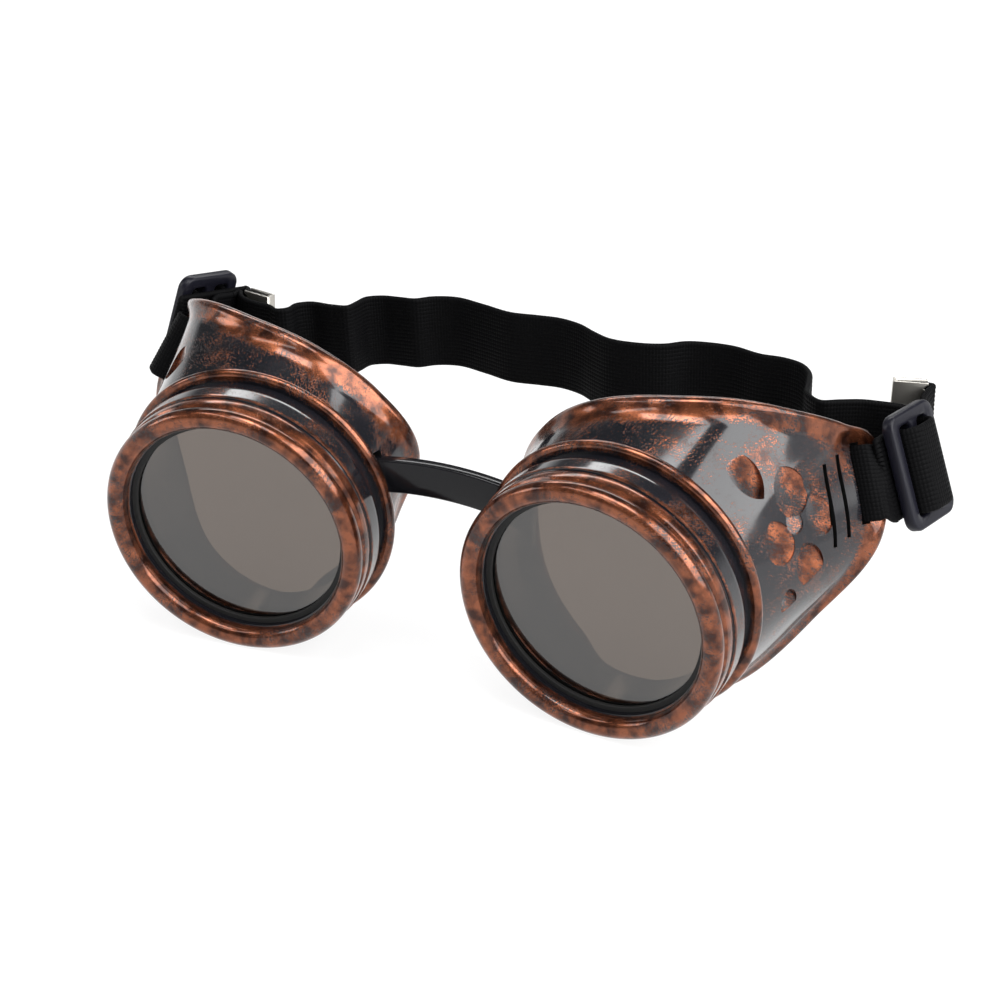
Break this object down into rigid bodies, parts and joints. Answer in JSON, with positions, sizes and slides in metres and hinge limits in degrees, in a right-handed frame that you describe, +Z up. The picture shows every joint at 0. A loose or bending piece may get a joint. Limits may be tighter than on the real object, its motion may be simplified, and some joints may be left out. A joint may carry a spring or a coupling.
{
  "type": "goggles",
  "caption": "Round-lens cup goggles with screw-on lens rings, side cups that reach back to the temples, a flexible nose bridge and a webbing head strap with sliders.",
  "frame": {"origin": "on the ground, straight below the point midway between the centres of the two rings", "axes": "+X from the left cup to the right cup as seen from the front, +Y from the lenses back towards the head, +Z up; the goggles stand on the two rings and the lower rims of the cups"},
  "size_m": [0.1897, 0.0884, 0.069],
  "materials": {
    "copper_cup": "copper paint brushed over glossy black moulded plastic",
    "copper_ring": "dense copper paint brushed over glossy black moulded plastic",
    "lens": "clear polished, slightly smoked",
    "washer": "matt",
    "slider": "satin",
    "webbing": "ribbed elastic webbing",
    "clip": "nickel plated",
    "bridge": "glossy flexible plastic"
  },
  "bodies": {
    "left_cup": {"left_eyecup": "copper_cup", "left_strap_loop": "webbing", "left_strap_clip": "clip", "nose_bridge": "bridge", "head_strap": "webbing"},
    "right_cup": {"right_eyecup": "copper_cup", "right_strap_loop": "webbing", "right_strap_clip": "clip"},
    "left_lens_unit": {"left_lens": "lens", "left_front_washer": "washer", "left_rear_washer": "washer"},
    "left_ring": {"left_lens_ring": "copper_ring"},
    "left_slider": {"left_slider": "slider", "left_strap_wrap": "webbing"},
    "right_lens_unit": {"right_lens": "lens", "right_front_washer": "washer", "right_rear_washer": "washer"},
    "right_ring": {"right_lens_ring": "copper_ring"},
    "right_slider": {"right_slider": "slider", "right_strap_wrap": "webbing"}
  },
  "joints": [
    {"name": "bridge_flex", "type": "hinge", "parent": "left_cup", "child": "right_cup", "pos_m": [0, 0.01655, 0.042], "axis": [0, 0, 1], "range_deg": [-8, 15], "stiffness_Nm_per_rad": 0.3, "deforming": ["nose_bridge", "head_strap"]},
    {"name": "left_lens_out", "type": "slide", "parent": "left_cup", "child": "left_lens_unit", "axis": [0.0966, -0.9855, -0.1392], "range_m": [0, 0.0036]},
    {"name": "left_ring_turn", "type": "hinge", "parent": "left_lens_unit", "child": "left_ring", "pos_m": [-0.0402, 0, 0.02874], "axis": [0.0966, -0.9855, -0.1392], "range_deg": [0, 540]},
    {"name": "right_lens_out", "type": "slide", "parent": "right_cup", "child": "right_lens_unit", "axis": [-0.0966, -0.9855, -0.1392], "range_m": [0, 0.0036]},
    {"name": "right_ring_turn", "type": "hinge", "parent": "right_lens_unit", "child": "right_ring", "pos_m": [0.0402, 0, 0.02874], "axis": [-0.0966, -0.9855, -0.1392], "range_deg": [0, 540]},
    {"name": "left_slider_slide", "type": "slide", "parent": "left_cup", "child": "left_slider", "axis": [-0.2787, -0.9531, 0.1182], "range_m": [-0.002, 0.004]},
    {"name": "right_slider_slide", "type": "slide", "parent": "right_cup", "child": "right_slider", "axis": [-0.2526, -0.9674, -0.0162], "range_m": [-0.002, 0.0035]}
  ],
  "couplings": [
    {"joint": "left_lens_out", "follows": "left_ring_turn", "m_per_rad": 0.00038197},
    {"joint": "right_lens_out", "follows": "right_ring_turn", "m_per_rad": 0.00038197}
  ]
}
